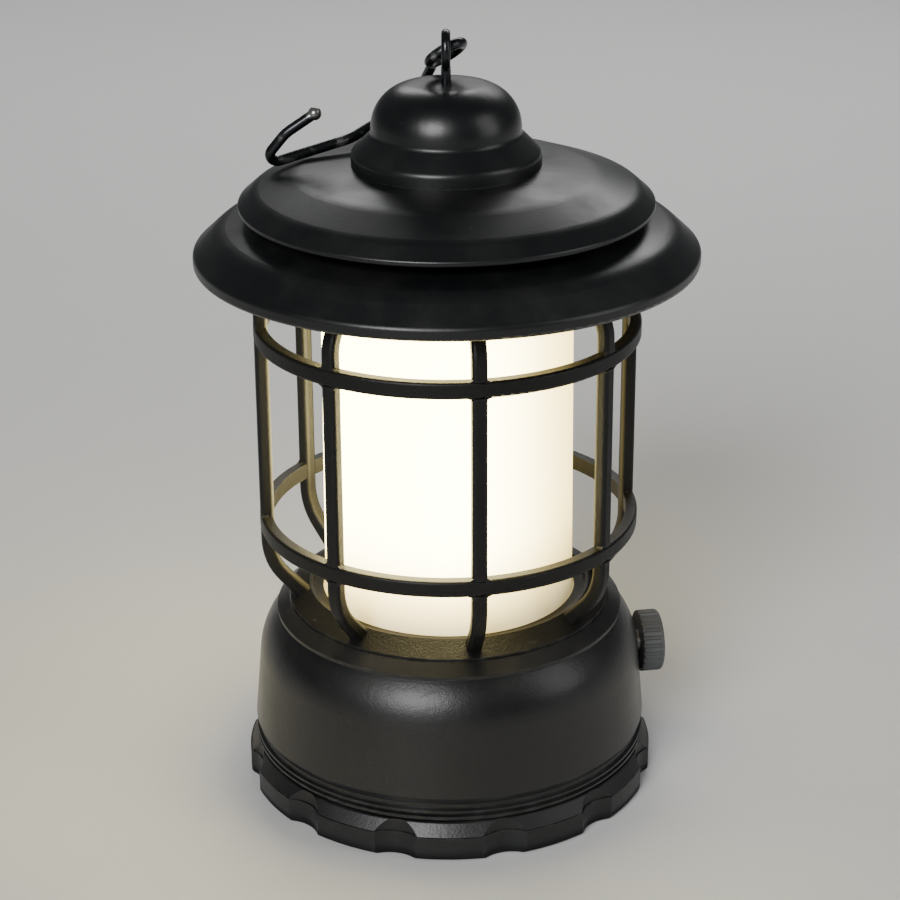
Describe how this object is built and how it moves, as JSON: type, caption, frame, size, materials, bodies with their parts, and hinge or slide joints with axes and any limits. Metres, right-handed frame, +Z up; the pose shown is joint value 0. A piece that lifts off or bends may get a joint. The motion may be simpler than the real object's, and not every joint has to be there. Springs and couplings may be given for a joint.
{
  "type": "camping lantern",
  "caption": "Battery camping lantern with a scalloped base, frosted diffuser in a barred cage, two-tier roof, side dimmer knob and wire hanging hook.",
  "frame": {"origin": "centre of the foot, on the surface that the lantern stands on", "axes": "+Z up through the screw eye, +X out through the dimmer knob, -Y the front"},
  "size_m": [0.13, 0.13, 0.2053],
  "materials": {
    "shell_plastic": "black satin moulding with a fine grain",
    "roof_paint": "black satin paint on spun steel",
    "cage_paint": "black textured paint",
    "dark_wire": "dark plated wire",
    "knob_plastic": "dark grey moulding, slightly worn",
    "frosted_plastic": "frosted warm white, lit from inside",
    "rubber": "black rubber",
    "tray_plastic": "black moulding",
    "bare_aluminium": "mill finish",
    "steel": "zinc plated",
    "board": "green circuit board",
    "board_part": "black moulded components",
    "chip": "yellow light-emitting chips",
    "cell_jacket": "plain cell jackets",
    "lead": "insulated leads"
  },
  "bodies": {
    "lantern": {"base_housing": "shell_plastic", "lamp_base": "shell_plastic", "cage_collar": "cage_paint", "cage_uprights": "cage_paint", "cage_hoop_lower": "cage_paint", "cage_hoop_upper": "cage_paint", "cage_crown_ring": "cage_paint", "diffuser": "frosted_plastic", "light_post": "bare_aluminium", "light_strips": "board", "light_chips": "chip", "light_link_board": "board", "crown_plate": "bare_aluminium", "roof_brim": "roof_paint", "roof_spacer": "roof_paint", "roof_disc": "roof_paint", "cap_dome": "roof_paint", "screw_eye": "dark_wire", "eye_nut": "steel", "tie_nut": "steel", "tie_washer": "steel", "dimmer_body": "steel", "dimmer_nut": "steel", "dimmer_bracket": "bare_aluminium", "battery_tray": "tray_plastic", "batteries": "cell_jacket", "contact_plates": "steel", "contact_springs": "steel", "driver_board": "board", "board_parts": "board_part", "light_leads": "lead", "battery_leads": "lead", "dimmer_leads": "lead", "deck_screws": "steel", "post_screws": "steel", "crown_screws": "steel", "tray_screws": "steel", "bracket_screws": "steel"},
    "hook": {"hanging_hook": "dark_wire"},
    "dimmer": {"dimmer_knob": "knob_plastic", "dimmer_shaft": "steel"},
    "cover_turn": {"cover_seal": "rubber"},
    "cover": {"battery_cover": "shell_plastic", "foot_pads": "rubber"}
  },
  "joints": [
    {"name": "hook_swing", "type": "hinge", "parent": "lantern", "child": "hook", "pos_m": [0, 0, 0.2001], "axis": [0.9877, -0.1564, 0], "range_deg": [0, 140]},
    {"name": "dimmer_turn", "type": "hinge", "parent": "lantern", "child": "dimmer", "pos_m": [0.053, 0, 0.0314], "axis": [1, 0, 0], "range_deg": [0, 270]},
    {"name": "cover_twist", "type": "hinge", "parent": "lantern", "child": "cover_turn", "pos_m": [0, 0, 0], "axis": [0, 0, 1], "range_deg": [0, 25]},
    {"name": "cover_lift_off", "type": "slide", "parent": "cover_turn", "child": "cover", "axis": [0, 0, -1], "range_m": [0, 0.03]}
  ]
}
